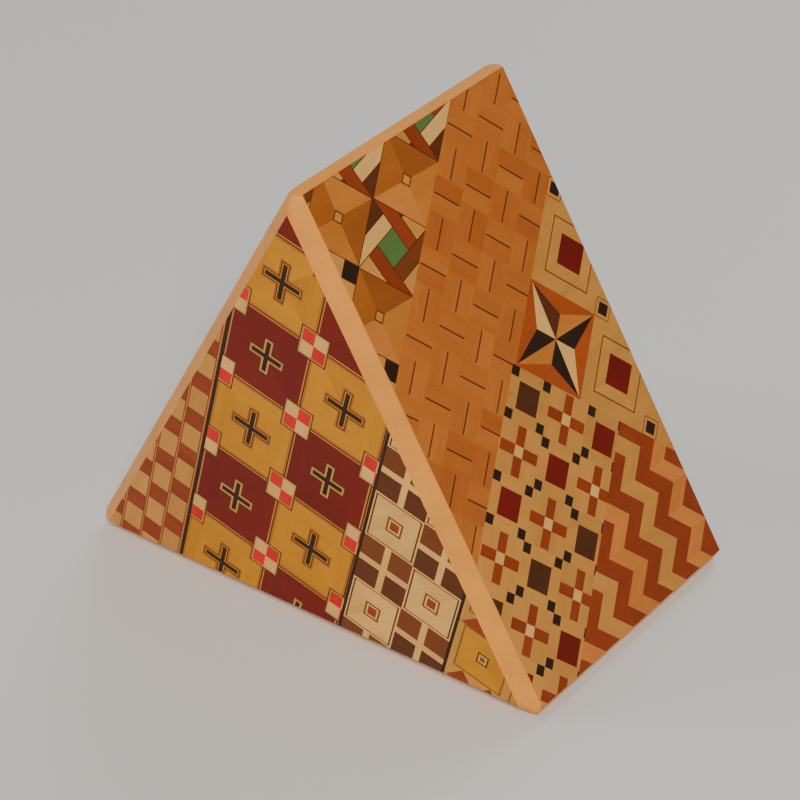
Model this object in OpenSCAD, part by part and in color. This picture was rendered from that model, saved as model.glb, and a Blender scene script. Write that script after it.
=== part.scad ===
// Triangular trick box.
// A short prism with equilateral ends stands on one long side. Five panels faced
// with wood marquetry hide a plain inner box. Both end panels slide up 6 mm, the
// base slides 6 mm to the left, and the right-hand panel is the lid, which slides
// back along the ridge on dovetail rails and opens the compartment.
// Frame: +Z up, +Y from the front end to the back end, the ridge above the Y axis,
// the origin at the middle of the base. All sizes are in millimetres.

/* [Body] */
// Side of the triangular ends, measured between sharp edges
side = 100; // [84:1:120]
// Length of the box along its ridge
depth = 60; // [50:1:90]
// Width that each planed edge takes off the two faces beside it
chamfer = 2.6; // [1.5:0.1:3.2]

/* [Panels] */
// Thickness of an outer panel, with its marquetry
panel_t = 5; // [4.2:0.1:6]
// Thickness of the marquetry sheet glued to a panel
marquetry_t = 0.3; // [0.2:0.05:0.6]

/* [Inner box] */
// Thickness of the boards of the inner box
wall_t = 3; // [2.5:0.1:3.6]
// Width of each stretcher beside the compartment's mouth
stretcher_w = 11; // [10:0.5:14]

/* [Rails] */
// Width of a dovetail rail where it is glued down
rail_foot = 4; // [3:0.1:4.8]
// Width of a dovetail rail at its head
rail_head = 5.4; // [4.9:0.1:6.5]
// Height of a dovetail rail
rail_h = 2.2; // [1.8:0.1:2.6]
// Length of the longer guide of an end panel
long_guide = 34; // [20:1:40]
// Length of the shorter guide of an end panel
short_guide = 16; // [10:1:20]
// Length of a guide under the inner box
base_guide = 56; // [40:1:60]

/* [Keys] */
// Width of a key across its slot
key_w = 6; // [4:0.5:8]
// Depth that a key reaches into its neighbour's notch
key_drop = 2.2; // [1.6:0.1:2.4]
// Height of the part of an end key that is glued to its panel
key_grip = 4.5; // [3:0.5:6]
// Place of the end keys, to the right of the middle
key_x = 9; // [4:1:14]
// Length of the lock key along the ridge
lock_l = 2.4; // [2:0.1:3]
// Width of the stop key under the lid
stop_w = 16; // [8:1:24]
// Length of the stop key along the ridge
stop_l = 3; // [2:0.1:5]

/* [Travel] */
// How far an end panel slides up beside the lid
end_travel = 6; // [3:0.5:7]
// How far the base slides to the left
base_travel = 6; // [3:0.5:7]

/* [Clearances] */
// Gap between a sliding panel and the inner box
slide_gap = 0.15; // [0.1:0.05:0.3]
// Gap between two panels where they meet at an edge
seam = 0.1; // [0.08:0.02:0.2]
// Gap all round a rail or a key in its groove
rail_gap = 0.1; // [0.05:0.05:0.2]
// Gap between the stop key and the wall it meets
stop_gap = 0.35; // [0.2:0.05:0.6]

/* [Hidden] */

inradius = side / (2 * sqrt(3));  // from the middle of an end to each of its sides
room = 3 * side;                  // longer than anything it cuts
over = 1;                         // how far a cutter runs past the face it cuts
inner_half = side / 2 - panel_t / tan(30); // half the inner face of a long panel
box_skin = panel_t + slide_gap;   // depth of the inner box's outside under a face
box_lining = box_skin + wall_t;   // depth of the compartment under a face
left_lining = panel_t + wall_t;   // the same behind the left panel, which is glued on
mouth_l = depth - 2 * box_lining; // length of the compartment along the ridge
lid_travel = mouth_l - stop_l - 2 * stop_gap;
mouth_top = -edge_x(box_skin, left_lining) + stretcher_w;
mouth_low = edge_x(box_skin, box_lining) - stretcher_w;
lid_rail_top = mouth_top - stretcher_w / 2 + 0.6;
lid_rail_low = mouth_low + stretcher_w / 2 - 0.6;
rail_l = depth - 2 * box_skin;
guide_x = inradius - box_skin - 2.2 * rail_head; // long guide, from the middle towards the lid
short_guide_x = guide_x - 2.2 * stretcher_w;     // short guide, on the other side of the middle
key_y = depth / 2 - panel_t;      // inner face of an end panel
key_reach = wall_t;               // how far an end key stands in from its panel
lock_y = key_y + 0.3;             // front of the lock key

pale = "burlywood";
wood = "tan";
dark = "sienna";
facing = "goldenrod";

// Distance from the middle of a long face to the line where the plane at depth d
// under it meets the plane at depth e under the next face.
function edge_x(d, e) = side / 2 - (d / 2 + e) / sin(60);

// Every joint runs from the edge between two inner faces out to one side of the
// planed edge, so that the whole planed edge belongs to one panel. These are the runs
// of the joints for each mm of depth.
long_run = (side / 2 - chamfer - inner_half) / panel_t;
end_run = (panel_t - chamfer) / panel_t;

// Half the width of a long panel at height z, grown by g, where it meets the next one.
function joint_half(z, g) =
    inner_half + (z + panel_t) * long_run + g * sqrt(1 + long_run * long_run);

// Half the length of a long panel at height z, grown by g, where it meets an end panel.
function joint_end(z, g) =
    depth / 2 - panel_t + (z + panel_t) * end_run + g * sqrt(1 + end_run * end_run);

// ---- frames: each face has its own, with z outwards and z = 0 on the face ----

module on_long_face(angle)
    translate([0, 0, inradius]) rotate([0, angle, 0]) translate([0, 0, inradius]) children();

// x runs down the slope from the ridge.
module on_lid_face() on_long_face(60) children();

// x runs up the slope to the ridge.
module on_left_face() on_long_face(-60) children();

// x runs from right to left.
module on_base_face() on_long_face(180) children();

// x runs to the right and y up, from the middle of the triangle.
module on_front_face()
    translate([0, -depth / 2, inradius]) rotate([90, 0, 0]) children();

module on_back_face() mirror([0, 1, 0]) on_front_face() children();

// y runs the way that the end panels slide, and x towards the lid.
module along_slide() rotate([0, 0, 30]) children();

// Draws a section of x and z along y, and one of y and z along x.
module along_y(length)
    translate([0, length / 2, 0]) rotate([90, 0, 0]) linear_extrude(length) children();

module along_x(length)
    translate([-length / 2, 0, 0]) rotate([90, 0, 90]) linear_extrude(length) children();

// A box between two corners.
module span(low, high) translate(low) cube(high - low);

// ---- the outer shape and the space that each panel takes ----

module ridge_section() {
    c = chamfer;
    half = side / 2;
    top = side * sin(60);
    polygon([
        [half - c, 0], [half - c / 2, c * sin(60)],
        [c / 2, top - c * sin(60)], [-c / 2, top - c * sin(60)],
        [-half + c / 2, c * sin(60)], [-half + c, 0]
    ]);
}

module end_chamfer_section() {
    c = chamfer;
    half = depth / 2;
    polygon([
        [-half, -room], [-half, -c], [-half + c, 0],
        [half - c, 0], [half, -c], [half, -room]
    ]);
}

module envelope()
    intersection() {
        along_y(depth) ridge_section();
        on_lid_face() along_x(room) end_chamfer_section();
        on_left_face() along_x(room) end_chamfer_section();
        on_base_face() along_x(room) end_chamfer_section();
    }

// The left panel owns the planed ridge and the front panel the lid's front edge. The
// lid owns its lower edge, and covers the back panel's edge, so that it can slide back.
module lid_space(g = 0, top = 0) {
    low = -panel_t - g;
    on_lid_face() intersection() {
        along_y(room) polygon([
            [-joint_half(top, g), top], [room / 2, top],
            [room / 2, low], [-joint_half(low, g), low]
        ]);
        along_x(room) polygon([
            [-joint_end(top, g), top], [depth / 2 + g, top],
            [depth / 2 + g, low], [-joint_end(low, g), low]
        ]);
    }
}

// The lid and the end panels own the planed edges beside it. It covers the left
// panel's lower edge, and owns that one.
module base_space(g = 0, top = 0) {
    low = -panel_t - g;
    on_base_face() intersection() {
        along_y(room) polygon([
            [-joint_half(top, g), top], [room / 2, top],
            [room / 2, low], [-joint_half(low, g), low]
        ]);
        along_x(room) polygon([
            [-joint_end(top, g), top], [joint_end(top, g), top],
            [joint_end(low, g), low], [-joint_end(low, g), low]
        ]);
    }
}

module base_blank() intersection() { envelope(); base_space(); }

module lid_blank()
    difference() {
        intersection() { envelope(); lid_space(); }
        base_space(seam, over);
    }

module front_blank()
    difference() {
        intersection() {
            envelope();
            span([-room, -depth / 2, -room], [room, -key_y, room]);
        }
        lid_space(seam, over);
        base_space(seam, over);
    }

module back_blank()
    difference() {
        intersection() {
            envelope();
            span([-room, key_y, -room], [room, depth / 2, room]);
        }
        lid_space(seam, over);
        base_space(seam, over);
    }

module left_blank()
    difference() {
        intersection() {
            envelope();
            on_left_face() span(
                [-room, -key_y + seam, -panel_t], [room, key_y - seam, over]);
        }
        lid_space(seam, over);
        base_space(seam, over);
    }

// The layers of a panel, in the panel's own frame.
module facing_layer() span([-room, -room, -marquetry_t], [room, room, over]);

module board_layer() span([-room, -room, -room], [room, room, -marquetry_t]);

// ---- rails and keys ----

// A dovetail along y that stands on z = 0, grown by g.
module dovetail(length, g = 0)
    along_y(length + 2 * g) polygon([
        [-rail_foot / 2 - g, 0], [rail_foot / 2 + g, 0],
        [rail_head / 2 + g, rail_h + g], [-rail_head / 2 - g, rail_h + g]
    ]);

// The same, standing on the inner box, in a face's own frame.
module rail(length, g = 0) translate([0, 0, -box_skin]) dovetail(length, g);

// Grooves of an end panel. They run further down than the guides, by the travel.
module guide_groove(length)
    translate([0, -end_travel / 2, 0]) rail(length + end_travel, rail_gap);

module end_guide_grooves()
    along_slide() {
        translate([guide_x, 0, 0]) guide_groove(long_guide);
        translate([short_guide_x, 0, 0]) guide_groove(short_guide);
    }

// A key of an end panel. Its foot stands in a notch of the base.
module end_key()
    span(
        [key_x - key_w / 2, -key_y, panel_t - key_drop],
        [key_x + key_w / 2, -key_y + key_reach, box_skin + key_grip]);

// Room for that key in an inner wall, as it rises with its panel.
module end_key_window()
    span(
        [key_x - key_w / 2 - end_travel * cos(60) - rail_gap, -key_y - over, 0],
        [key_x + key_w / 2 + rail_gap, -key_y + box_lining,
            box_skin + key_grip + end_travel * sin(60) + rail_gap]);

// Room for its foot in the base, wide enough for the base to slide past it.
module end_key_notch()
    span(
        [key_x - key_w / 2 - key_drop / tan(60) - rail_gap, -key_y - rail_gap,
            panel_t - key_drop - rail_gap],
        [key_x + key_w / 2 + base_travel + rail_gap, -key_y + key_reach + rail_gap,
            panel_t + over]);

// The lock key's channel in the lid, for every place of the back panel and the lid.
module lock_channel()
    span(
        [-key_w / 2 - end_travel - rail_gap, lock_y - lid_travel - rail_gap, -panel_t - over],
        [key_w / 2 + rail_gap, lock_y + lock_l + rail_gap, key_drop - panel_t + rail_gap]);

// ---- nodes ----

module front_panel()
    color(pale) difference() {
        intersection() { front_blank(); on_front_face() board_layer(); }
        on_front_face() end_guide_grooves();
    }

module front_marquetry()
    color(facing) intersection() { front_blank(); on_front_face() facing_layer(); }

module front_key() color(dark) end_key();

module back_panel()
    color(pale) difference() {
        intersection() { back_blank(); on_back_face() board_layer(); }
        on_back_face() end_guide_grooves();
    }

module back_marquetry()
    color(facing) intersection() { back_blank(); on_back_face() facing_layer(); }

module back_key() color(dark) mirror([0, 1, 0]) end_key();

module lock_key()
    color(dark) on_lid_face() span(
        [-key_w / 2, lock_y, -panel_t - seam],
        [key_w / 2, lock_y + lock_l, key_drop - panel_t]);

module base_panel()
    color(pale) difference() {
        intersection() { base_blank(); on_base_face() board_layer(); }
        for (y = [-mouth_l / 4, mouth_l / 4])
            translate([base_travel / 2, 0, 0]) base_rail(y, base_guide + base_travel, rail_gap);
        end_key_notch();
        mirror([0, 1, 0]) end_key_notch();
    }

module base_marquetry()
    color(facing) intersection() { base_blank(); on_base_face() facing_layer(); }

module left_panel()
    color(pale) intersection() { left_blank(); on_left_face() board_layer(); }

module left_marquetry()
    color(facing) intersection() { left_blank(); on_left_face() facing_layer(); }

module lid_panel()
    color(pale) difference() {
        intersection() { lid_blank(); on_lid_face() board_layer(); }
        on_lid_face() {
            for (x = [lid_rail_top, lid_rail_low])
                translate([x, -panel_t / 2, 0]) rail(rail_l + panel_t, rail_gap);
            lock_channel();
        }
    }

module lid_marquetry()
    color(facing) intersection() { lid_blank(); on_lid_face() facing_layer(); }

module lid_stop_key()
    color(dark) on_lid_face() span(
        [-stop_w / 2, -mouth_l / 2 + stop_gap, -box_lining - over],
        [stop_w / 2, -mouth_l / 2 + stop_gap + stop_l, -panel_t]);

module inner_floor()
    color(wood) on_base_face() along_y(mouth_l) polygon([
        [-edge_x(box_skin, box_skin), -box_skin],
        [edge_x(box_skin, left_lining), -box_skin],
        [edge_x(box_lining, left_lining), -box_lining],
        [-edge_x(box_lining, box_skin), -box_lining]
    ]);

module inner_left_wall()
    color(wood) on_left_face() along_y(mouth_l) polygon([
        [-edge_x(panel_t, box_skin), -panel_t],
        [edge_x(panel_t, box_skin), -panel_t],
        [edge_x(left_lining, box_skin), -left_lining],
        [-edge_x(left_lining, box_skin), -left_lining]
    ]);

// A triangular end board of the inner box, at the front.
module inner_end_wall()
    difference() {
        translate([0, -mouth_l / 2 - wall_t / 2, 0]) intersection() {
            on_left_face() along_y(wall_t) polygon([
                [-room, -room], [room, -room], [room, -panel_t], [-room, -panel_t]
            ]);
            on_lid_face() along_y(wall_t) polygon([
                [-room, -room], [room, -room], [room, -box_skin], [-room, -box_skin]
            ]);
            on_base_face() along_y(wall_t) polygon([
                [-room, -room], [room, -room], [room, -box_skin], [-room, -box_skin]
            ]);
        }
        end_key_window();
    }

module inner_front_wall() color(wood) inner_end_wall();

module inner_back_wall() color(wood) mirror([0, 1, 0]) inner_end_wall();

module upper_stretcher()
    color(wood) on_lid_face() along_y(mouth_l) polygon([
        [-edge_x(box_skin, left_lining), -box_skin], [mouth_top, -box_skin],
        [mouth_top, -box_lining], [-edge_x(box_lining, left_lining), -box_lining]
    ]);

module lower_stretcher()
    color(wood) on_lid_face() along_y(mouth_l) polygon([
        [mouth_low, -box_skin], [edge_x(box_skin, box_lining), -box_skin],
        [edge_x(box_lining, box_lining), -box_lining], [mouth_low, -box_lining]
    ]);

module lid_rail_upper()
    color(dark) on_lid_face() translate([lid_rail_top, 0, 0]) rail(rail_l);

module lid_rail_lower()
    color(dark) on_lid_face() translate([lid_rail_low, 0, 0]) rail(rail_l);

module end_guide(x, length) along_slide() translate([x, 0, 0]) rail(length);

module front_guide_long() color(dark) on_front_face() end_guide(guide_x, long_guide);

module front_guide_short()
    color(dark) on_front_face() end_guide(short_guide_x, short_guide);

module back_guide_long() color(dark) on_back_face() end_guide(guide_x, long_guide);

module back_guide_short()
    color(dark) on_back_face() end_guide(short_guide_x, short_guide);

// A rail under the inner box, across the ridge.
module base_rail(y, length, g = 0)
    translate([0, y, 0]) on_base_face() rotate([0, 0, 90]) rail(length, g);

module base_guide_front() color(dark) base_rail(-mouth_l / 4, base_guide);

module base_guide_back() color(dark) base_rail(mouth_l / 4, base_guide);

front_panel();
front_marquetry();
front_key();
back_panel();
back_marquetry();
back_key();
lock_key();
base_panel();
base_marquetry();
left_panel();
left_marquetry();
lid_panel();
lid_marquetry();
lid_stop_key();
inner_floor();
inner_left_wall();
inner_front_wall();
inner_back_wall();
upper_stretcher();
lower_stretcher();
lid_rail_upper();
lid_rail_lower();
front_guide_long();
front_guide_short();
back_guide_long();
back_guide_short();
base_guide_front();
base_guide_back();
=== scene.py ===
"""Triangular trick box: a lacquered wooden prism covered with geometric marquetry.

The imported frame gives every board, rail and key. This script gives them their woods, and
lays each marquetry sheet piece by piece: a unit of small wooden tiles for each pattern
band, repeated over the band, and cut to the outline of the sheet that it replaces.
Patterns are drawn in millimetres on the flat face; everything in the scene is in metres.
"""

import math

import bmesh
import bpy
from mathutils import Matrix, Vector


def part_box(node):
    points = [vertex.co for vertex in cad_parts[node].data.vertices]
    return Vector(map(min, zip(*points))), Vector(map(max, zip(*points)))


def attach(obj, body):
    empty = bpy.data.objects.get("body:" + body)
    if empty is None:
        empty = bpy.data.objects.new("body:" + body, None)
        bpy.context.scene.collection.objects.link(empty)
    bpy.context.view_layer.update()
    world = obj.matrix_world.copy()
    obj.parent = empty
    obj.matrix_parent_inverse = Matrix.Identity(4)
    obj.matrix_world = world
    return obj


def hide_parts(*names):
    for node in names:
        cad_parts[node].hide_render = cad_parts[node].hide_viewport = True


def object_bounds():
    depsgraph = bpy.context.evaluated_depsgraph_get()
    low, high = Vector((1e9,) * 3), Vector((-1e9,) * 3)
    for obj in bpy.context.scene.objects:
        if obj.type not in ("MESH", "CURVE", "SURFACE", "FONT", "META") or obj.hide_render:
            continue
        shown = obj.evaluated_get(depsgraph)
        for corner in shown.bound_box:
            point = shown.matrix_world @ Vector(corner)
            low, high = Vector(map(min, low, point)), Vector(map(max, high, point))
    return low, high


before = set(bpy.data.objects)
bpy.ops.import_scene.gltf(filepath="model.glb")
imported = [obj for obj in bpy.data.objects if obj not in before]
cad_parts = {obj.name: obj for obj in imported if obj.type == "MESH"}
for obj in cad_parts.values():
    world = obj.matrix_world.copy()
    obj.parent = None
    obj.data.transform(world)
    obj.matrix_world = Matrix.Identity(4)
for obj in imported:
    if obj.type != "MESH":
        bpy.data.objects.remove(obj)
cad_low, cad_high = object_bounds()

MM = 0.001
ROOT2 = math.sqrt(2)
SIN60 = math.sin(math.radians(60))
TINY = 1e-4                      # mm: shorter than this is nothing
STRAIGHT = 0.01                  # mm2: a corner that turns by less than this is straight
LINE = 0.35                      # mm: a thin inlaid line
SEPARATOR = 0.65                 # mm: the dark line between two bands
GLUE_DEPTH = 0.02                # mm: how far the glue bed lies below the tiles
FIGURE = 10                      # mm: one unit of the wood patterns


# ---------------------------------------------------------------- flat outlines

def box(x0, y0, x1, y1):
    """An upright rectangle, anticlockwise."""
    return [(x0, y0), (x1, y0), (x1, y1), (x0, y1)]


def oblong(x, y, width, height):
    """An upright rectangle round its middle."""
    return box(x - width / 2, y - height / 2, x + width / 2, y + height / 2)


def square(x, y, side):
    return oblong(x, y, side, side)


def inset(outline, margin):
    """An upright rectangle made smaller by a margin on every side."""
    (x0, y0), (x1, y1) = outline[0], outline[2]
    return box(x0 + margin, y0 + margin, x1 - margin, y1 - margin)


def turned(outline, degrees, about=(0, 0)):
    """The outline turned anticlockwise about a point."""
    c, s = math.cos(math.radians(degrees)), math.sin(math.radians(degrees))
    ax, ay = about
    return [(ax + (x - ax) * c - (y - ay) * s, ay + (x - ax) * s + (y - ay) * c) for x, y in outline]


def moved(outline, dx, dy):
    return [(x + dx, y + dy) for x, y in outline]


def strip_along(start, end, width):
    """A strip of the given width centred on a line."""
    (sx, sy), (ex, ey) = start, end
    reach = math.hypot(ex - sx, ey - sy)
    nx, ny = -(ey - sy) / reach * width / 2, (ex - sx) / reach * width / 2
    return [(sx + nx, sy + ny), (sx - nx, sy - ny), (ex - nx, ey - ny), (ex + nx, ey + ny)]


def area(outline):
    """The area of an outline, above zero if it runs anticlockwise."""
    return sum(x0 * y1 - x1 * y0 for (x0, y0), (x1, y1) in edges(outline)) / 2


def split(outline, start, end):
    """The parts of a convex outline to the left and to the right of a line."""
    (sx, sy), (ex, ey) = start, end
    reach = math.hypot(ex - sx, ey - sy)
    side = [((ex - sx) * (y - sy) - (ey - sy) * (x - sx)) / reach for x, y in outline]
    left, right = [], []
    for i, point in enumerate(outline):
        after = (i + 1) % len(outline)
        if side[i] >= -TINY:
            left.append(point)
        if side[i] <= TINY:
            right.append(point)
        if side[i] * side[after] < 0 and min(abs(side[i]), abs(side[after])) > TINY:
            t = side[i] / (side[i] - side[after])
            cut = tuple(a + (b - a) * t for a, b in zip(point, outline[after]))
            left.append(cut)
            right.append(cut)
    return [part if len(part) > 2 and area(part) > TINY else [] for part in (left, right)]


def edges(outline):
    """The start and end of each side of an outline."""
    return zip(outline, outline[1:] + outline[:1])


def common(outline, window):
    """The part of a convex outline inside a convex window."""
    for start, end in edges(window):
        if outline:
            outline = split(outline, start, end)[0]
    return outline


def around(outline, hole):
    """The convex parts of an outline that lie outside a convex hole."""
    parts = []
    for start, end in edges(hole):
        if not outline:
            return parts
        outline, outside = split(outline, start, end)
        if outside:
            parts.append(outside)
    return parts


def convex_parts(outline):
    """An anticlockwise outline in convex parts, cut where a corner points inwards."""
    for i, corner in enumerate(outline):
        after = outline[(i + 1) % len(outline)]
        if area([outline[i - 1], corner, after]) < -STRAIGHT:
            left, right = split(outline, after, corner)
            return convex_parts([p for p in left if p != after]) + convex_parts(right)
    return [outline]


# ---------------------------------------------------------------- marquetry units

BASKET = 6.5                     # mm: a square of the basket weave
PINWHEEL = 12.4                  # mm: a square of the pinwheel pattern
DOTS = 9.5                       # mm: a square of the small squares and crosses


class Unit:
    """One repeat of a pattern. Its tiles are convex, and fill it without overlap."""

    def __init__(self, width, height, wood, grain=0):
        self.width, self.height = width, height
        self.window = box(0, 0, width, height)
        self.tiles = [(wood, grain, 0, self.window)]
        self.laid = 0

    def lay(self, wood, outline, grain=0):
        """Lets a piece of wood into what lies there already."""
        if area(outline) < 0:
            outline = outline[::-1]
        outline = common(outline, self.window)
        if not outline:
            return
        kept = []
        for tile_wood, tile_grain, number, old in self.tiles:
            if common(old, outline):
                kept += [(tile_wood, tile_grain, number, part) for part in around(old, outline)]
            else:
                kept.append((tile_wood, tile_grain, number, old))
        self.laid += 1
        self.tiles = kept + [(wood, grain, self.laid, outline)]

    def lay_over(self, wood, outline, grain=0):
        """The same, for a piece that may cross the unit's edges and come back in opposite."""
        for dx in (-self.width, 0, self.width):
            for dy in (-self.height, 0, self.height):
                self.lay(wood, moved(outline, dx, dy), grain)


def facets(x, y, side):
    """The four triangles of a square cut along its diagonals: right, top, left, bottom."""
    corners = square(x, y, side)
    return [[corners[i], corners[(i + 1) % 4], (x, y)] for i in (1, 2, 3, 0)]


def cross_blocks():
    """Large blocks, yellow and red in turn, with a cross in each and small checks at the corners."""
    wide, high = 16.9, 16.4
    check, arm = 2.55, 0.9
    borders = {"yellow": "hazel", "red": "cream"}
    lengths = {"yellow": 7.3, "red": 6.3}
    rings = {
        "yellow": (("hazel", 1.5), ("umber_dark", 0.9), ("yellow", 0.45), ("black", 0)),
        "red": (("umber_dark", 1.3), ("cream", 0.8), ("black", 0)),
    }
    unit = Unit(2 * wide, 2 * high, "yellow")
    for column in (0, 1):
        for row in (0, 1):
            x, y = (column + 0.5) * wide, (row + 0.5) * high
            wood = "red" if (column + row) % 2 else "yellow"
            cell = oblong(x, y, wide, high)
            for quarter in range(4):
                tip = [cell[quarter], cell[(quarter + 1) % 4], (x, y)]
                unit.lay(wood, tip, 90 * (quarter % 2))
            for wood_of_edge, back in (("umber_dark", 0), (borders[wood], LINE)):
                for start, end in edges(inset(cell, back)):
                    strip = strip_along(start, end, LINE * 2 / 3)
                    unit.lay(wood_of_edge, common(strip, cell), 0)
            for wood_of_cross, grow in rings[wood]:
                long, thin = lengths[wood] + grow, arm + grow
                unit.lay(wood_of_cross, oblong(x, y, long, thin))
                unit.lay(wood_of_cross, oblong(x, y, thin, long), 90)
    for column in (0, 1):
        for row in (0, 1):
            x, y = column * wide, row * high
            unit.lay_over("umber_dark", square(x, y, 2 * check + 3 * LINE))
            unit.lay_over("cream", square(x, y, 2 * check + 1.5 * LINE))
            for i in (0, 1):
                for j in (0, 1):
                    wood = "pale" if (i + j + column + row) % 2 else "pink"
                    corner = (x + (i - 1) * check, y + (j - 1) * check)
                    unit.lay_over(wood, box(*corner, corner[0] + check, corner[1] + check), 90)
    return unit


def brick_columns():
    """Narrow columns of red-brown and tan blocks, each column half a step from the next."""
    wide, step, short = 4.4, 8.65, 3.5
    seams = (("brown", 2 * LINE), ("amber", 0.7 * LINE))
    unit = Unit(2 * wide, step, "cream")
    for column in (0, 1):
        x = column * wide
        unit.lay("cream", box(x, 0, x + wide, step), 90)
        y = column * step / 2
        unit.lay_over("rust_brown", box(x, y - short / 2, x + wide, y + short / 2), 0)
        for end in (y - short / 2, y + short / 2):
            unit.lay_over("brown", box(x, end - LINE / 3, x + wide, end + LINE / 3))
    for column in (0, 1):
        for wood, width in seams:
            unit.lay_over(wood, oblong(column * wide, step / 2, width, step), 90)
    return unit


def window_blocks():
    """Cream squares with a small eye, in turn with brown squares split by pale bars."""
    wide, high = 10.4, 10.2
    bar, eye = 1.3, 2.5
    unit = Unit(2 * wide, 2 * high, "brown")
    for column in (0, 1):
        for row in (0, 1):
            x, y = (column + 0.5) * wide, (row + 0.5) * high
            cell = oblong(x, y, wide, high)
            if (column + row) % 2:
                unit.lay("deep_brown", cell, 0)
                for i in (0, 1):
                    left = x - wide / 2 + i * wide / 2
                    unit.lay("brown", box(left, y, left + wide / 2, y + high / 2), 90 * i)
                unit.lay("pale", oblong(x, y, wide, bar))
                unit.lay("pale", oblong(x, y, bar, high), 90)
                continue
            unit.lay("pale", cell)
            unit.lay("umber_dark", inset(cell, LINE))
            for outline in facets(x, y, high - 3.2 * LINE):
                unit.lay("pale", outline, 45)
            unit.lay("brown", square(x, y, eye + 2 * LINE))
            unit.lay("pale", square(x, y, eye))
            unit.lay("rust_brown", square(x, y, eye - 2 * LINE))
    return unit


def yellow_squares():
    """Outlined yellow squares one above the other, with a row of triangles between them."""
    wide, side, gap = 11.6, 10.0, 3.0
    rim, eye, middle = 2.3, 1.7, 1.0
    unit = Unit(wide, side + gap, "cream")
    half = side / 2
    x, y = wide / 2, gap + half
    unit.lay("olive", square(x, y, side))
    for outline in facets(x, y, side - 2 * LINE):
        unit.lay("yellow", outline, 45)
    unit.lay("umber_dark", square(x, y, rim))
    unit.lay("pale", square(x, y, eye))
    unit.lay("olive", square(x, y, middle))
    for i in (0, 1):
        left = i * wide / 2
        unit.lay("rust_brown", [(left, 0), (left + wide / 2, 0), (left + wide / 4, gap)], 0)
    return unit


def basket_row():
    """A row of squares of two slats with a thin dark line between them, turned a quarter in turn."""
    mark, thin = 5.9, 0.8 * LINE
    woods = ("salmon", "salmon", "camphor", "salmon", "salmon", "camphor", "salmon", "salmon")
    unit = Unit(BASKET, len(woods) * BASKET, "salmon")
    for row in range(len(woods)):
        x, y = BASKET / 2, (row + 0.5) * BASKET
        across = row % 2
        for half in (0, 1):
            slat = box(0, (row + half / 2) * BASKET, BASKET, (row + (half + 1) / 2) * BASKET)
            wood = woods[(3 * row + 5 * half) % len(woods)]
            unit.lay(wood, turned(slat, 90 * across, (x, y)), 90 * across)
        unit.lay("umber_dark", turned(oblong(x, y, mark, thin), 90 * across, (x, y)), 90 * across)
    return unit


def pyramids_and_pinwheels():
    """Squares of four facets, in turn with pinwheels round a green square.

    The lines along the sides of each green square run out to the corners of its cell.
    """
    side = PINWHEEL
    half, hub, blade = side / 2, 2.45, 2.8
    rim, eye = 2.0, 1.4
    lean = 45 + math.degrees(math.asin(hub / (half * ROOT2)))
    unit = Unit(2 * side, 4 * side, "cream")
    for column in (0, 1):
        for row in range(4):
            x, y = (column + 0.5) * side, (row + 0.5) * side
            if (column + row) % 2 == 0:
                unit.lay("umber_dark", square(x, y, side))
                woods = ("tan", "umber", "hazel", "amber") if column else ("umber", "tan", "hazel", "tan")
                for wood, outline in zip(woods, facets(x, y, side - LINE)):
                    unit.lay(wood, outline, 45)
                unit.lay("brown", square(x, y, rim))
                unit.lay("cream", square(x, y, eye))
                continue
            cell = square(x, y, side)
            over = 180 if row in (1, 2) else 0
            unit.lay("cream", cell, 45)
            corner = [(x - half, y - 1), (x + 1, y + half), (x - half, y + half)]
            unit.lay("deep_brown", turned(corner, over, (x, y)), 45)
            for quarter, wood in enumerate(("pale", "rust_brown", "brown", "rust_brown")):
                for blade_wood, back in (("umber_dark", -LINE / 4), (wood, LINE / 4)):
                    strip = box(-side, hub + back, hub - back, hub + blade - back)
                    strip = turned(moved(strip, x, y), over + lean + 90 * quarter, (x, y))
                    unit.lay(blade_wood, common(strip, cell), lean + 90 * quarter)
            for wood, back in (("umber_dark", -LINE / 4), ("green", LINE / 4)):
                unit.lay(wood, turned(square(x, y, 2 * (hub - back)), lean, (x, y)), lean)
    return unit


def corner_checks():
    """Plain cream squares with a dark square in one corner."""
    side, dark = PINWHEEL, 3.2
    unit = Unit(2 * side, 2 * side, "cream")
    for i in (0, 1):
        for j in (0, 1):
            x, y = i * side, j * side
            unit.lay("cream", box(x, y, x + side, y + side), 90 * ((i + j) % 2))
            unit.lay("black", box(x + side - dark, y + side - dark, x + side, y + side))
    return unit


def stars_and_squares():
    """Four-pointed stars, outlined red squares and plain squares with a dark corner."""
    side = 16.1
    half, waist, tip_gap = side / 2, 4.7, 0.4
    flanks = (("tan", "black"), ("pale", "deep_brown"), ("tan", "black"), ("pale", "black"))
    outer, inner, dark, corner_gap = 10.7, 5.7, 2.2, 0.6
    unit = Unit(4 * side, 4 * side, "cream")
    for column in range(4):
        for row in range(4):
            x, y = (column + 0.5) * side, (row + 0.5) * side
            unit.lay("cream", square(x, y, side), 45)
            kind = (column + row) % 4
            if kind % 2:
                unit.lay("brown", square(x, y, outer))
                for outline in facets(x, y, outer - 1.5 * LINE):
                    unit.lay("cream", outline, 45)
                unit.lay("red", square(x, y, inner))
            elif kind == 2:
                near = dark / 2 + corner_gap
                corner = (x - half + near, y - half + near)
                unit.lay("brown", square(*corner, dark + 4 * LINE))
                unit.lay("cream", square(*corner, dark + 3 * LINE))
                unit.lay("black", square(*corner, dark))
            else:
                for outline in facets(x, y, side):
                    unit.lay("rust", outline, 45)
                for quarter in range(4):
                    tip, left, right = (half - tip_gap, half - tip_gap), (0, waist), (waist, 0)
                    for wood, flank in zip(flanks[quarter], (left, right)):
                        ray = [(x, y)] + [(x + a, y + b) for a, b in (flank, tip)]
                        unit.lay(wood, turned(ray, 90 * quarter, (x, y)), 45 + 90 * quarter)
    return unit


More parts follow.
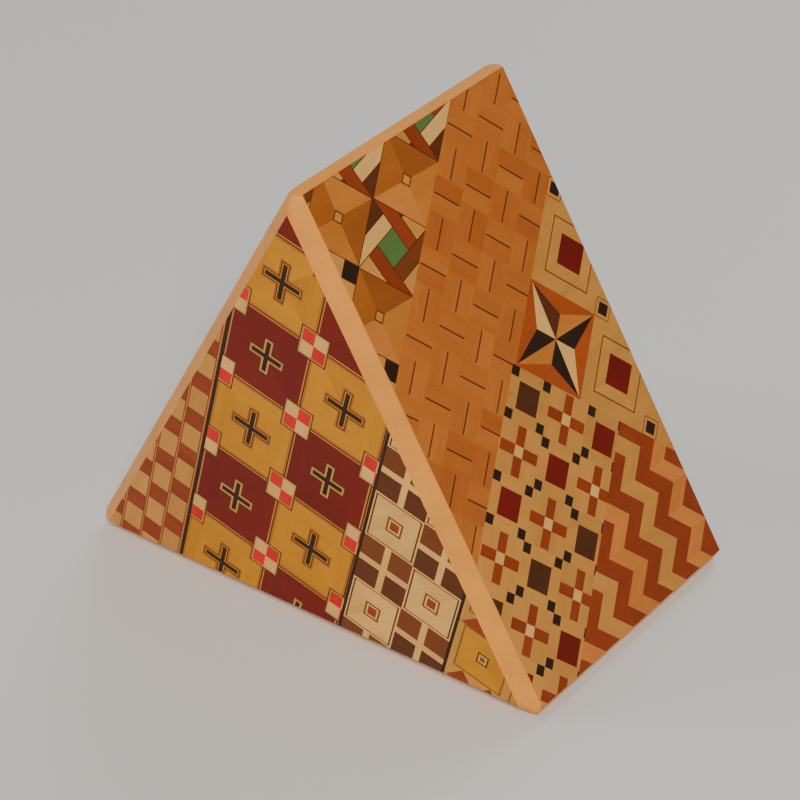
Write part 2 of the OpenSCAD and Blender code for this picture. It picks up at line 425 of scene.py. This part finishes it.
def squares_and_crosses():
    """Squares with dark corners, in turn with small crosses, all on cream."""
    side, big, dot, arm, reach = DOTS, 5.0, 1.8, 2.0, 3.5
    unit = Unit(4 * side, 4 * side, "cream")
    for column in range(4):
        for row in range(4):
            x, y = (column + 0.5) * side, (row + 0.5) * side
            unit.lay("cream", square(x, y, side), 90 * ((column + row) % 2))
            if (column + row) % 2 == 0:
                corner = side / 2 - dot / 2
                for dx in (-corner, corner):
                    for dy in (-corner, corner):
                        unit.lay("black", square(x + dx, y + dy, dot))
                unit.lay("red" if (column - row) % 4 == 2 else "umber_dark", square(x, y, big), 45)
                continue
            for quarter in range(4):
                bar = moved(box(arm / 2, -arm / 2, arm / 2 + reach, arm / 2), x, y)
                unit.lay("rust_brown", turned(bar, 90 * quarter, (x, y)), 90 * quarter)
            unit.lay("pale", square(x, y, arm))
    return unit


def zigzag():
    """Red-brown zigzag stripes, with amber and cream ones in turn between them."""
    row, red, gap = 4.45, 4.5, 4.4
    unit = Unit(2 * (red + gap), 2 * row, "cream")
    x = -row
    while x < unit.width + row:
        for wood, width in (("rust_brown", red), ("amber", gap), ("rust_brown", red), ("cream", gap)):
            for start, lean in ((0, row), (row, -row)):
                foot = x if lean > 0 else x + row
                head = foot + lean
                slat = [(foot, start), (foot + width, start),
                        (head + width, start + row), (head, start + row)]
                unit.lay(wood, slat, 45 if lean > 0 else -45)
            x += width
    return unit


# ---------------------------------------------------------------- repeating a unit

MOST_TILES = 1000                # more tiles than any unit has


def repeat_tree():
    """Geometry nodes that repeat a unit in rows and columns, with a random tone for each tile."""
    tree = bpy.data.node_groups.new("repeat_unit", "GeometryNodeTree")
    tree.interface.new_socket("Unit", in_out="INPUT", socket_type="NodeSocketGeometry")
    for name, kind in (("Columns", "Int"), ("Rows", "Int"), ("Column Pitch", "Float"),
                       ("Row Pitch", "Float"), ("Seed", "Int"), ("Wood", "Material")):
        tree.interface.new_socket(name, in_out="INPUT", socket_type="NodeSocket" + kind)
    tree.interface.new_socket("Sheet", in_out="OUTPUT", socket_type="NodeSocketGeometry")
    nodes, link = tree.nodes, tree.links.new
    given = nodes.new("NodeGroupInput")
    lines = []
    for count, pitch, axis in (("Columns", "Column Pitch", "X"), ("Rows", "Row Pitch", "Y")):
        offset = nodes.new("ShaderNodeCombineXYZ")
        link(given.outputs[pitch], offset.inputs[axis])
        line = nodes.new("GeometryNodeMeshLine")
        link(given.outputs[count], line.inputs["Count"])
        link(offset.outputs[0], line.inputs["Offset"])
        lines.append(line)
    rows = nodes.new("GeometryNodeInstanceOnPoints")
    link(lines[1].outputs[0], rows.inputs["Points"])
    link(lines[0].outputs[0], rows.inputs["Instance"])
    points = nodes.new("GeometryNodeRealizeInstances")
    link(rows.outputs[0], points.inputs[0])
    units = nodes.new("GeometryNodeInstanceOnPoints")
    link(points.outputs[0], units.inputs["Points"])
    link(given.outputs["Unit"], units.inputs["Instance"])
    index = nodes.new("GeometryNodeInputIndex")
    numbered = nodes.new("GeometryNodeStoreNamedAttribute")
    numbered.data_type, numbered.domain = "INT", "INSTANCE"
    numbered.inputs["Name"].default_value = "unit"
    link(units.outputs[0], numbered.inputs["Geometry"])
    link(index.outputs[0], numbered.inputs["Value"])
    real = nodes.new("GeometryNodeRealizeInstances")
    link(numbered.outputs[0], real.inputs[0])
    read = {}
    for name in ("unit", "tile"):
        read[name] = nodes.new("GeometryNodeInputNamedAttribute")
        read[name].data_type = "INT"
        read[name].inputs["Name"].default_value = name
    joined = nodes.new("ShaderNodeMath")
    joined.operation = "MULTIPLY_ADD"
    link(read["unit"].outputs["Attribute"], joined.inputs[0])
    joined.inputs[1].default_value = MOST_TILES
    link(read["tile"].outputs["Attribute"], joined.inputs[2])
    chance = nodes.new("FunctionNodeRandomValue")
    chance.data_type = "FLOAT"
    link(joined.outputs[0], chance.inputs["ID"])
    link(given.outputs["Seed"], chance.inputs["Seed"])
    tone = nodes.new("GeometryNodeStoreNamedAttribute")
    tone.data_type, tone.domain = "FLOAT", "FACE"
    tone.inputs["Name"].default_value = "tone"
    link(real.outputs[0], tone.inputs["Geometry"])
    link(chance.outputs[1], tone.inputs["Value"])
    wooden = nodes.new("GeometryNodeSetMaterial")
    link(tone.outputs[0], wooden.inputs["Geometry"])
    link(given.outputs["Wood"], wooden.inputs["Material"])
    result = nodes.new("NodeGroupOutput")
    link(wooden.outputs[0], result.inputs[0])
    return tree


def repeated(unit, columns, rows, seed):
    """The tiles of a repeated unit: wood, grain, tone and outline of each, in the band's frame."""
    tiles = []
    for wood in sorted({tile[0] for tile in unit.tiles}):
        own = [tile for tile in unit.tiles if tile[0] == wood]
        points = [(x, y, 0) for tile in own for x, y in tile[3]]
        faces, first = [], 0
        for tile in own:
            faces.append(list(range(first, first + len(tile[3]))))
            first += len(tile[3])
        mesh = bpy.data.meshes.new("unit_" + wood)
        mesh.from_pydata(points, [], faces)
        mesh.attributes.new("grain", "FLOAT", "FACE").data.foreach_set("value", [tile[1] for tile in own])
        mesh.attributes.new("tile", "INT", "FACE").data.foreach_set("value", [tile[2] for tile in own])
        maker = bpy.data.objects.new("unit_" + wood, mesh)
        bpy.context.scene.collection.objects.link(maker)
        modifier = maker.modifiers.new("repeat", "NODES")
        modifier.node_group = REPEAT
        values = {"Columns": columns, "Rows": rows, "Column Pitch": unit.width,
                  "Row Pitch": unit.height, "Seed": seed, "Wood": WOODS[wood]}
        for socket in REPEAT.interface.items_tree:
            if socket.in_out == "INPUT" and socket.name in values:
                modifier[socket.identifier] = values[socket.name]
        bpy.context.view_layer.update()
        sheet = bpy.data.meshes.new_from_object(maker.evaluated_get(bpy.context.evaluated_depsgraph_get()))
        tones, grains = sheet.attributes["tone"].data, sheet.attributes["grain"].data
        for face in sheet.polygons:
            outline = [tuple(sheet.vertices[v].co[:2]) for v in face.vertices]
            tiles.append((wood, grains[face.index].value, tones[face.index].value, outline))
        bpy.data.objects.remove(maker)
        bpy.data.meshes.remove(sheet)
        bpy.data.meshes.remove(mesh)
    return tiles


# ---------------------------------------------------------------- woods

def colour(red, green, blue):
    """A colour given as it looks on a screen, from 0 to 255, as the renderer's own value."""
    def linear(v):
        v /= 255
        return v / 12.92 if v <= 0.04045 else ((v + 0.055) / 1.055) ** 2.4
    return (linear(red), linear(green), linear(blue), 1)


def wood_group():
    """Wood: long fibres, broad growth rings and fine pores along the vector's X axis."""
    ring_squeeze, fibre_squeeze, pore_squeeze = 0.16, 0.06, 0.045
    ring_count, ring_share, fibre_share, middle = 7, 0.55, 0.6, 0.55
    pore_scale, pore_limit, pore_tint = 60, 0.62, (0.45, 0.33, 0.25, 1)
    fibre_dulling = 0.18
    tree = bpy.data.node_groups.new("wood_figure", "ShaderNodeTree")
    for name, kind in (("Vector", "Vector"), ("Light", "Color"), ("Dark", "Color")):
        tree.interface.new_socket(name, in_out="INPUT", socket_type="NodeSocket" + kind)
    for name, value in (("Ring Scale", 1.2), ("Fibre Scale", 14), ("Figure", 0.5), ("Pores", 0.2),
                        ("Tone", 0.5), ("Tone Range", 0.25), ("Gloss", 0.3)):
        socket = tree.interface.new_socket(name, in_out="INPUT", socket_type="NodeSocketFloat")
        socket.default_value = value
    for name, kind in (("Colour", "Color"), ("Roughness", "Float"), ("Height", "Float")):
        tree.interface.new_socket(name, in_out="OUTPUT", socket_type="NodeSocket" + kind)
    nodes, link = tree.nodes, tree.links.new
    given, result = nodes.new("NodeGroupInput"), nodes.new("NodeGroupOutput")

    def value(operation, first, second=0.0, third=0.0):
        node = nodes.new("ShaderNodeMath")
        node.operation = operation
        for socket, source in zip(node.inputs, (first, second, third)):
            if isinstance(source, (int, float)):
                socket.default_value = source
            else:
                link(source, socket)
        return node.outputs[0]

    def noise(stretch, scale, detail):
        space = nodes.new("ShaderNodeMapping")
        space.inputs["Scale"].default_value = stretch
        link(given.outputs["Vector"], space.inputs["Vector"])
        texture = nodes.new("ShaderNodeTexNoise")
        texture.inputs["Detail"].default_value = detail
        link(space.outputs[0], texture.inputs["Vector"])
        if isinstance(scale, (int, float)):
            texture.inputs["Scale"].default_value = scale
        else:
            link(scale, texture.inputs["Scale"])
        return texture.outputs["Fac"]

    rings = noise((ring_squeeze, 1, 1), given.outputs["Ring Scale"], 2)
    rings = value("PINGPONG", value("MULTIPLY", rings, ring_count), 1)
    fibres = noise((fibre_squeeze, 1, 1), given.outputs["Fibre Scale"], 4)
    figure = value("ADD", value("MULTIPLY", rings, ring_share), value("MULTIPLY", fibres, fibre_share))
    figure = value("MULTIPLY", value("SUBTRACT", figure, middle), given.outputs["Figure"])
    toned = value("MULTIPLY", value("SUBTRACT", given.outputs["Tone"], 0.5), given.outputs["Tone Range"])
    mixing = nodes.new("ShaderNodeMix")
    mixing.data_type = "RGBA"
    mixing.clamp_factor = True
    link(value("ADD", value("SUBTRACT", 0.5, toned), figure), mixing.inputs["Factor"])
    link(given.outputs["Light"], mixing.inputs["A"])
    link(given.outputs["Dark"], mixing.inputs["B"])
    pores = noise((pore_squeeze, 1, 1), pore_scale, 1)
    pores = value("MULTIPLY", value("GREATER_THAN", pores, pore_limit), given.outputs["Pores"])
    dotted = nodes.new("ShaderNodeMix")
    dotted.data_type = "RGBA"
    dotted.blend_type = "MULTIPLY"
    dotted.inputs["B"].default_value = pore_tint
    link(pores, dotted.inputs["Factor"])
    link(mixing.outputs["Result"], dotted.inputs["A"])
    link(dotted.outputs["Result"], result.inputs["Colour"])
    dulled = value("ADD", given.outputs["Gloss"], value("MULTIPLY", fibres, fibre_dulling))
    link(dulled, result.inputs["Roughness"])
    link(value("SUBTRACT", fibres, pores), result.inputs["Height"])
    return tree


def hands_group():
    """The faint dulling that handling leaves: broad soft patches, from 0 to 1."""
    tree = bpy.data.node_groups.new("handled", "ShaderNodeTree")
    tree.interface.new_socket("Scale", in_out="INPUT", socket_type="NodeSocketFloat").default_value = 60
    tree.interface.new_socket("Patches", in_out="OUTPUT", socket_type="NodeSocketFloat")
    nodes, link = tree.nodes, tree.links.new
    given, result = nodes.new("NodeGroupInput"), nodes.new("NodeGroupOutput")
    where = nodes.new("ShaderNodeTexCoord")
    texture = nodes.new("ShaderNodeTexNoise")
    texture.inputs["Detail"].default_value = 5
    texture.inputs["Roughness"].default_value = 0.6
    link(where.outputs["Object"], texture.inputs["Vector"])
    link(given.outputs["Scale"], texture.inputs["Scale"])
    spread = nodes.new("ShaderNodeMapRange")
    spread.inputs["From Min"].default_value = 0.4
    spread.inputs["From Max"].default_value = 0.75
    link(texture.outputs["Fac"], spread.inputs["Value"])
    link(spread.outputs[0], result.inputs[0])
    return tree


def wood_material(name, tint, contrast=0.22, figure=0.5, rings=1.2, fibres=14, pores=0.2, tones=0.3,
                  gloss=0.3, coat=0.05, bump=0.12, turn=None):
    """A wood. Tiles read their own grain map; boards read object space, turned to their grain."""
    deepening = (1, 1.25, 1.5)
    handling = 0.12
    light = [v * (1 + contrast) for v in tint[:3]] + [1]
    dark = [v * (1 - contrast * more) for v, more in zip(tint, deepening)] + [1]
    material = bpy.data.materials.new(name)
    material.use_nodes = True
    nodes, link = material.node_tree.nodes, material.node_tree.links.new
    shader = nodes["Principled BSDF"]
    shader.inputs["Coat Weight"].default_value = coat
    shader.inputs["Coat Roughness"].default_value = 0.14
    shader.inputs["Specular IOR Level"].default_value = 0.2
    wood = nodes.new("ShaderNodeGroup")
    wood.node_tree = WOOD
    wood.inputs["Light"].default_value = light
    wood.inputs["Dark"].default_value = dark
    for socket, value in (("Figure", figure), ("Ring Scale", rings), ("Fibre Scale", fibres),
                          ("Pores", pores), ("Tone Range", tones), ("Gloss", gloss)):
        wood.inputs[socket].default_value = value
    if turn is None:
        grain = nodes.new("ShaderNodeUVMap")
        grain.uv_map = "grain"
        link(grain.outputs[0], wood.inputs["Vector"])
        tone = nodes.new("ShaderNodeAttribute")
        tone.attribute_name = "tone"
        link(tone.outputs["Fac"], wood.inputs["Tone"])
    else:
        where = nodes.new("ShaderNodeTexCoord")
        space = nodes.new("ShaderNodeMapping")
        space.inputs["Rotation"].default_value = [math.radians(a) for a in turn]
        space.inputs["Scale"].default_value = [1 / (FIGURE * MM)] * 3
        link(where.outputs["Object"], space.inputs["Vector"])
        link(space.outputs[0], wood.inputs["Vector"])
    hands = nodes.new("ShaderNodeGroup")
    hands.node_tree = HANDS
    dulled = nodes.new("ShaderNodeMath")
    dulled.operation = "MULTIPLY_ADD"
    dulled.inputs[1].default_value = handling
    link(hands.outputs[0], dulled.inputs[0])
    link(wood.outputs["Roughness"], dulled.inputs[2])
    link(dulled.outputs[0], shader.inputs["Roughness"])
    link(wood.outputs["Colour"], shader.inputs["Base Color"])
    relief = nodes.new("ShaderNodeBump")
    relief.inputs["Strength"].default_value = bump
    relief.inputs["Distance"].default_value = 0.0002
    link(wood.outputs["Height"], relief.inputs["Height"])
    link(relief.outputs[0], shader.inputs["Normal"])
    return material


WOOD = wood_group()
HANDS = hands_group()
REPEAT = repeat_tree()

TINTS = {
    "cream": ("holly", (196, 136, 61)), "pale": ("dogwood", (222, 172, 96)),
    "yellow": ("mulberry", (196, 130, 10)), "amber": ("cherry", (200, 122, 52)),
    "salmon": ("camphor", (183, 104, 37)), "camphor": ("red_camphor", (175, 94, 33)),
    "tan": ("katsura", (192, 117, 41)), "hazel": ("chestnut", (167, 94, 31)),
    "umber": ("zelkova", (150, 82, 27)), "umber_dark": ("walnut", (76, 40, 13)),
    "rust": ("padauk", (165, 73, 21)), "rust_brown": ("sappan", (140, 56, 18)),
    "red": ("red_sandalwood", (112, 20, 5)), "pink": ("dyed_rose", (206, 34, 26)),
    "brown": ("katsura_bark", (115, 58, 21)),
    "deep_brown": ("old_katsura", (91, 44, 16)), "green": ("dyed_green", (82, 112, 58)),
    "olive": ("magnolia", (126, 88, 27)), "black": ("bog_wood", (43, 25, 10)),
}
WOODS = {wood: wood_material(name, colour(*tint)) for wood, (name, tint) in TINTS.items()}


def board_woods():
    """Light honey wood for the lacquered boards, with the grain along each board's length."""
    level, along_ridge, slope = (0, 0, 0), (0, 0, 90), 60

    def lacquered(name, turn):
        return wood_material(name, colour(226, 150, 62), rings=0.5, fibres=9, turn=turn)

    return {
        "ends": lacquered("honey_ends", level), "left": lacquered("honey_left", (0, slope, 0)),
        "lid": lacquered("honey_lid", (0, -slope, 0)), "base": lacquered("honey_base", level),
        "inner": wood_material("plain_magnolia", colour(204, 166, 112), rings=0.7, fibres=8, gloss=0.5,
                               coat=0, bump=0.3, turn=along_ridge),
        "rails": wood_material("waxed_oak", colour(118, 70, 36), pores=0.5, gloss=0.4, coat=0,
                               bump=0.3, turn=along_ridge),
        "glue": wood_material("glue_bed", colour(74, 44, 20), gloss=0.5, coat=0, turn=level),
    }


BOARDS = board_woods()
NODE_WOOD = {
    "front_panel": "ends", "back_panel": "ends", "left_panel": "left", "lid_panel": "lid",
    "base_panel": "base", "inner_floor": "inner", "inner_left_wall": "inner",
    "inner_front_wall": "inner", "inner_back_wall": "inner", "upper_stretcher": "inner",
    "lower_stretcher": "inner",
}
for name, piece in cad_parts.items():
    piece.data.materials.clear()
    piece.data.materials.append(BOARDS[NODE_WOOD.get(name, "rails")])


# ---------------------------------------------------------------- corners

EASED = 0.9                      # mm: how far the planed edges are rounded where they meet
SKIN_DEPTH = 0.02                # mm: closer than this to the outside is on it
PARALLEL = 0.99                  # the cosine of two directions that count as one
FACE_NORMALS = [Vector(n) for n in ((0, -1, 0), (0, 1, 0), (0, 0, -1), (SIN60, 0, 0.5), (-SIN60, 0, 0.5))]
SKIN = [v.co.copy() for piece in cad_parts.values() for v in piece.data.vertices]


def eased(node, body):
    """A panel whose planed edges are rounded over where two of them meet, as sanding leaves them."""
    shape = bmesh.new()
    shape.from_mesh(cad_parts[node].data)
    bmesh.ops.remove_doubles(shape, verts=shape.verts, dist=TINY * MM)
    bmesh.ops.dissolve_limit(shape, angle_limit=math.radians(1), verts=shape.verts, edges=shape.edges)
    planed = set()
    for face in shape.faces:
        reach = max(face.normal.dot(spot) for spot in SKIN)
        slanted = all(face.normal.dot(normal) < PARALLEL for normal in FACE_NORMALS)
        if slanted and reach - face.normal.dot(face.verts[0].co) < SKIN_DEPTH * MM:
            planed.add(face)
    corners = [edge for edge in shape.edges if planed.issuperset(edge.link_faces)]
    bmesh.ops.bevel(shape, geom=corners, offset=EASED * MM, offset_type="OFFSET", segments=4,
                    profile=0.5, affect="EDGES", clamp_overlap=False)
    mesh = bpy.data.meshes.new(node + "_eased")
    shape.to_mesh(mesh)
    shape.free()
    mesh.materials.append(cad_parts[node].data.materials[0])
    piece = bpy.data.objects.new(node + "_eased", mesh)
    bpy.context.scene.collection.objects.link(piece)
    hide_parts(node)
    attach(piece, body)


for panel, body in (("front_panel", "front_end"), ("back_panel", "back_end"), ("lid_panel", "lid")):
    eased(panel, body)


# ---------------------------------------------------------------- faces and their bands

GRAIN_SPREAD = (37.0, 91.0)      # how far apart the tiles lie in the wood they are cut from


class Face:
    """A flat face of the box: where its frame lies, and the outline of its marquetry sheet."""

    def __init__(self, node, origin, right, up):
        self.node = node
        right, up = Vector(right).normalized(), Vector(up).normalized()
        out = right.cross(up)
        self.place = Matrix((right, up, out)).transposed().to_4x4()
        self.place.translation = Vector(origin)
        inwards = self.place.inverted()
        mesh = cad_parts[node].data
        corners = [tuple((inwards @ v.co) / MM) for v in mesh.vertices]
        heights = [z for x, y, z in corners]
        self.depth = max(heights) - min(heights)
        self.outline = self.rim(mesh, corners, max(heights))
        foot = self.rim(mesh, corners, min(heights))
        self.foot = [min(foot, key=lambda corner: math.dist(corner, p)) for p in self.outline]
        self.parts = convex_parts(self.outline)
        self.tiles = []

    @staticmethod
    def rim(mesh, corners, height):
        """The outline of the flat side of a mesh that lies at a height, anticlockwise."""
        follow = {}
        for face in mesh.polygons:
            if all(abs(corners[v][2] - height) < STRAIGHT for v in face.vertices):
                flat = [(round(corners[v][0], 3), round(corners[v][1], 3)) for v in face.vertices]
                for start, end in edges(flat if area(flat) > 0 else flat[::-1]):
                    follow[start, end] = 1
        follow = {start: end for start, end in follow if (end, start) not in follow}
        outline = [min(follow)]
        while follow[outline[-1]] != outline[0]:
            outline.append(follow[outline[-1]])
        sides = zip(outline[-1:] + outline[:-1], outline, outline[1:] + outline[:1])
        return [corner for before, corner, after in sides if abs(area([before, corner, after])) > STRAIGHT]

    def cover(self, unit, window, origin, degrees, seed):
        """Repeats a unit over a convex window. Its corner is at the origin, turned by degrees."""
        for part in self.parts:
            if common(window, part):
                self.cover_part(unit, common(window, part), origin, degrees, seed)

    def cover_part(self, unit, window, origin, degrees, seed):
        """The same, over a window that lies inside the sheet."""
        own = turned(moved(window, -origin[0], -origin[1]), -degrees)
        left, low = (min(p[i] for p in own) for i in (0, 1))
        right, high = (max(p[i] for p in own) for i in (0, 1))
        first_column, first_row = math.floor(left / unit.width), math.floor(low / unit.height)
        columns = math.ceil(right / unit.width) - first_column
        rows = math.ceil(high / unit.height) - first_row
        start = (first_column * unit.width, first_row * unit.height)
        for wood, grain, tone, outline in repeated(unit, columns, rows, seed):
            part = common(moved(outline, *start), own)
            if part:
                self.tiles.append((wood, grain + degrees, tone, moved(turned(part, degrees), *origin)))

    def clear(self, window):
        """Takes out what lies in a convex window."""
        kept = []
        for tile in self.tiles:
            if common(tile[3], window):
                kept += [(*tile[:3], part) for part in around(tile[3], window)]
            else:
                kept.append(tile)
        self.tiles = kept

    def line(self, start, end, width=SEPARATOR, wood="black"):
        """Lets a dark line in over the tiles."""
        (sx, sy), (ex, ey) = start, end
        for part in self.parts:
            strip = common(strip_along(start, end, width), part)
            if strip:
                self.clear(strip)
                self.tiles.append((wood, math.degrees(math.atan2(ey - sy, ex - sx)), 0.5, strip))

    def build(self, name):
        """The finished sheet: closed tiles of real thickness, standing in a bed of glue."""
        woods = sorted({tile[0] for tile in self.tiles})
        points, faces, slots, maps, tones = [], [], [], [], []

        def solid(top_outline, foot_outline, top, foot, slot, side_slot, grain, tone):
            count, first = len(top_outline), len(points)
            points.extend((x * MM, y * MM, top * MM) for x, y in top_outline)
            points.extend((x * MM, y * MM, foot * MM) for x, y in foot_outline)
            last = first + 2 * count - 1
            rings = [list(range(first, first + count)), list(range(last, last - count, -1))]
            for i in range(count):
                j = (i + 1) % count
                rings.append([first + i, first + count + i, first + count + j, first + j])
            shift = [tone * spread for spread in GRAIN_SPREAD]
            for number, ring in enumerate(rings):
                faces.append(ring)
                slots.append(slot if number < 2 else side_slot)
                tones.append(tone)
                for v in ring:
                    x, y = points[v][0] / MM, points[v][1] / MM
                    (u, w), = turned([(x, y)], -grain)
                    maps.append((u / FIGURE + shift[0], w / FIGURE + shift[1]))

        glue, edge = len(woods), len(woods) + 1
        for wood, grain, tone, outline in self.tiles:
            slot = woods.index(wood)
            solid(outline, outline, 0, -self.depth / 2, slot, edge, grain, tone)
        solid(self.outline, self.foot, -GLUE_DEPTH, -self.depth, glue, edge, 0, 0.5)
        mesh = bpy.data.meshes.new(name)
        mesh.from_pydata(points, [], faces)
        for wood in woods:
            mesh.materials.append(WOODS[wood])
        mesh.materials.append(BOARDS["glue"])
        mesh.materials.append(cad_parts[self.node.replace("marquetry", "panel")].data.materials[0])
        mesh.polygons.foreach_set("material_index", slots)
        layer = mesh.uv_layers.new(name="grain")
        layer.data.foreach_set("uv", [v for pair in maps for v in pair])
        mesh.attributes.new("tone", "FLOAT", "FACE").data.foreach_set("value", tones)
        mesh.transform(self.place)
        mesh.update()
        piece = bpy.data.objects.new(name, mesh)
        bpy.context.scene.collection.objects.link(piece)
        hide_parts(self.node)
        return piece


UNITS = {
    "crosses": cross_blocks(), "bricks": brick_columns(), "windows": window_blocks(),
    "suns": yellow_squares(), "basket": basket_row(), "pinwheels": pyramids_and_pinwheels(),
    "checks": corner_checks(), "stars": stars_and_squares(), "dots": squares_and_crosses(),
    "zigzag": zigzag(),
}
FAR = 300.0                      # mm: past the edge of any face

sheet_low, sheet_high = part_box("front_marquetry")
chamfer = (sheet_low.z + sheet_high.y - sheet_low.y) / MM
side = (cad_high.x - cad_low.x) / MM + chamfer
ridge = side * SIN60


class Bands:
    """Bands side by side on a face, all turned by the same angle."""

    def __init__(self, face, degrees, seed):
        self.face, self.degrees, self.seed = face, degrees, seed

    def band(self, pattern, left, right, start, low=-FAR, high=FAR):
        """A pattern between two lines, its first unit's corner at start."""
        self.seed += 10
        window = turned(box(left, low, right, high), self.degrees)
        origin, = turned([start], self.degrees)
        self.face.cover(UNITS[pattern], window, origin, self.degrees, self.seed)

    def weave(self, left, starts, low=-FAR, high=FAR):
        """Rows of basket weave beside one another, each with its own start along the row."""
        for row, start in enumerate(starts):
            x = left + row * BASKET
            self.band("basket", x, x + BASKET, (x, start), low, high)

    def replace(self, pattern, left, right, start, low=-FAR, high=FAR):
        """The same as a band, in place of what lies there already."""
        self.face.clear(turned(box(left, low, right, high), self.degrees))
        self.band(pattern, left, right, start, low, high)

    def line(self, x, low=-FAR, high=FAR, width=SEPARATOR, wood="black"):
        start, end = turned([(x, low), (x, high)], self.degrees)
        self.face.line(start, end, width, wood)


def front_sheet():
    face = Face("front_marquetry", (0, cad_low.y, 0), (1, 0, 0), (0, 0, 1))
    lean = Bands(face, -15, 100)
    lean.band("bricks", -FAR, -28.0, (-32.95, 0.5))
    lean.band("crosses", -28.0, 6.7, (-27.7, -8.2))
    lean.band("windows", 6.7, 28.0, (6.95, 7.3))
    lean.band("suns", 28.0, FAR, (28.7, 10.6))
    for x in (-28.0, 6.7, 28.0):
        lean.line(x)
    return face.build("front_marquetry_sheet")


def lid_sheet():
    face = Face("lid_marquetry", (0, cad_low.y, ridge * MM), (0, 1, 0), (-0.5, 0, SIN60))
    lean = Bands(face, -48.4, 200)
    first, second, second_low, third, across = 30.0, 55.05, 54.4, 81.4, -8.5
    x, y = 17.8, -6.4
    lean.band("pinwheels", -FAR, first, (x - PINWHEEL, y))
    lean.weave(first, (9.6, 14.0, 20.5, 27.0))
    lean.replace("stars", second, FAR, (second, across), low=across)
    lean.replace("dots", second_low, third, (second_low, across - DOTS), high=across)
    lean.replace("checks", -FAR, x, (x - PINWHEEL, y - PINWHEEL), high=y)
    lean.replace("checks", x, first, (x, y - 2 * PINWHEEL), high=y - PINWHEEL)
    level = Bands(face, -3.4, 300)
    stripes = turned(box(third, -FAR, FAR, across), lean.degrees)
    face.cover(UNITS["zigzag"], stripes, (49.4, -77.0), level.degrees, level.seed)
    return face.build("lid_marquetry_sheet")


def back_sheet():
    face = Face("back_marquetry", (0, cad_high.y, 0), (-1, 0, 0), (0, 0, 1))
    lean = Bands(face, -15, 400)
    lean.band("dots", -FAR, -24.0, (-33.5, 2.0))
    lean.weave(-24.0, (1.0, 7.5))
    lean.band("crosses", -11.0, 23.3, (-10.8, 3.0))
    lean.band("bricks", 23.3, FAR, (23.6, 1.5))
    for x in (-24.0, -11.0, 23.3):
        lean.line(x)
    return face.build("back_marquetry_sheet")


def left_sheet():
    face = Face("left_marquetry", (0, cad_high.y, ridge * MM), (0, -1, 0), (0.5, 0, SIN60))
    lean = Bands(face, -45, 500)
    lean.band("windows", -FAR, 28.6, (7.5, 2.0))
    lean.band("stars", 28.6, 60.8, (28.6, -10.0))
    lean.weave(60.8, (3.0, 9.5))
    lean.band("pinwheels", 73.8, FAR, (73.8, -5.0))
    for x in (28.6, 60.8, 73.8):
        lean.line(x)
    return face.build("left_marquetry_sheet")


def base_sheet():
    face = Face("base_marquetry", (0, 0, 0), (1, 0, 0), (0, -1, 0))
    lean = Bands(face, 45, 600)
    lean.band("bricks", -FAR, -30.0, (-34.4, 0))
    lean.band("dots", -30.0, -2.0, (-30.0, 0))
    lean.weave(-2.0, (0, 6.5, 13.0))
    lean.band("windows", 17.5, 38.3, (17.5, 0))
    lean.band("bricks", 38.3, FAR, (38.3, 0))
    for x in (-30.0, -2.0, 17.5, 38.3):
        lean.line(x)
    return face.build("base_marquetry_sheet")


for make, body in ((front_sheet, "front_end"), (lid_sheet, "lid"), (back_sheet, "back_end"),
                   (left_sheet, "inner_box"), (base_sheet, "base")):
    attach(make(), body)


# ---------------------------------------------------------------- floor, light and camera

def floor():
    size = 4.0
    mesh = bpy.data.meshes.new("floor")
    mesh.from_pydata([(x, y, 0) for x, y in square(0, 0, size)], [], [(0, 1, 2, 3)])
    material = bpy.data.materials.new("floor")
    material.use_nodes = True
    shader = material.node_tree.nodes["Principled BSDF"]
    shader.inputs["Base Color"].default_value = (0.72, 0.71, 0.69, 1)
    shader.inputs["Roughness"].default_value = 0.6
    mesh.materials.append(material)
    piece = bpy.data.objects.new("floor", mesh)
    bpy.context.scene.collection.objects.link(piece)


def light(name, place, size, watts, target, tint=(1, 1, 1)):
    lamp = bpy.data.lights.new(name, "AREA")
    lamp.shape = "DISK"
    lamp.size = size
    lamp.energy = watts
    lamp.color = tint
    piece = bpy.data.objects.new(name, lamp)
    piece.location = place
    piece.rotation_euler = (Vector(target) - Vector(place)).to_track_quat("-Z", "Y").to_euler()
    bpy.context.scene.collection.objects.link(piece)


def studio():
    middle = (0, 0, ridge * MM / 2)
    light("key_light", (0.55, -0.65, 0.75), 0.35, 10.5, middle, (1.0, 0.94, 0.86))
    light("side_light", (-0.8, -0.5, 0.5), 0.6, 3, middle, (1.0, 0.96, 0.9))
    light("back_light", (-0.2, 0.9, 0.6), 0.6, 4, middle)
    world = bpy.data.worlds.new("studio")
    world.use_nodes = True
    world.node_tree.nodes["Background"].inputs["Color"].default_value = (0.8, 0.82, 0.85, 1)
    world.node_tree.nodes["Background"].inputs["Strength"].default_value = 0.27
    bpy.context.scene.world = world


def camera():
    azimuth, elevation, roll = (math.radians(a) for a in (37.9, 33.2, -1.3))
    distance, target = 0.532, Vector((0, -0.0017, 0.0311))
    ground = Vector((math.sin(azimuth), -math.cos(azimuth), 0))
    back = ground * math.cos(elevation) + Vector((0, 0, math.sin(elevation)))
    level = (-back).cross(Vector((0, 0, 1))).normalized()
    upright = level.cross(-back)
    right = level * math.cos(roll) + upright * math.sin(roll)
    up = upright * math.cos(roll) - level * math.sin(roll)
    eye = bpy.data.cameras.new("camera")
    eye.sensor_width = 36
    eye.lens = 137
    eye.clip_start = 0.01
    piece = bpy.data.objects.new("camera", eye)
    turn = Matrix((right, up, back)).transposed().to_4x4()
    turn.translation = target + back * distance
    piece.matrix_world = turn
    bpy.context.scene.collection.objects.link(piece)
    bpy.context.scene.camera = piece


floor()
studio()
camera()
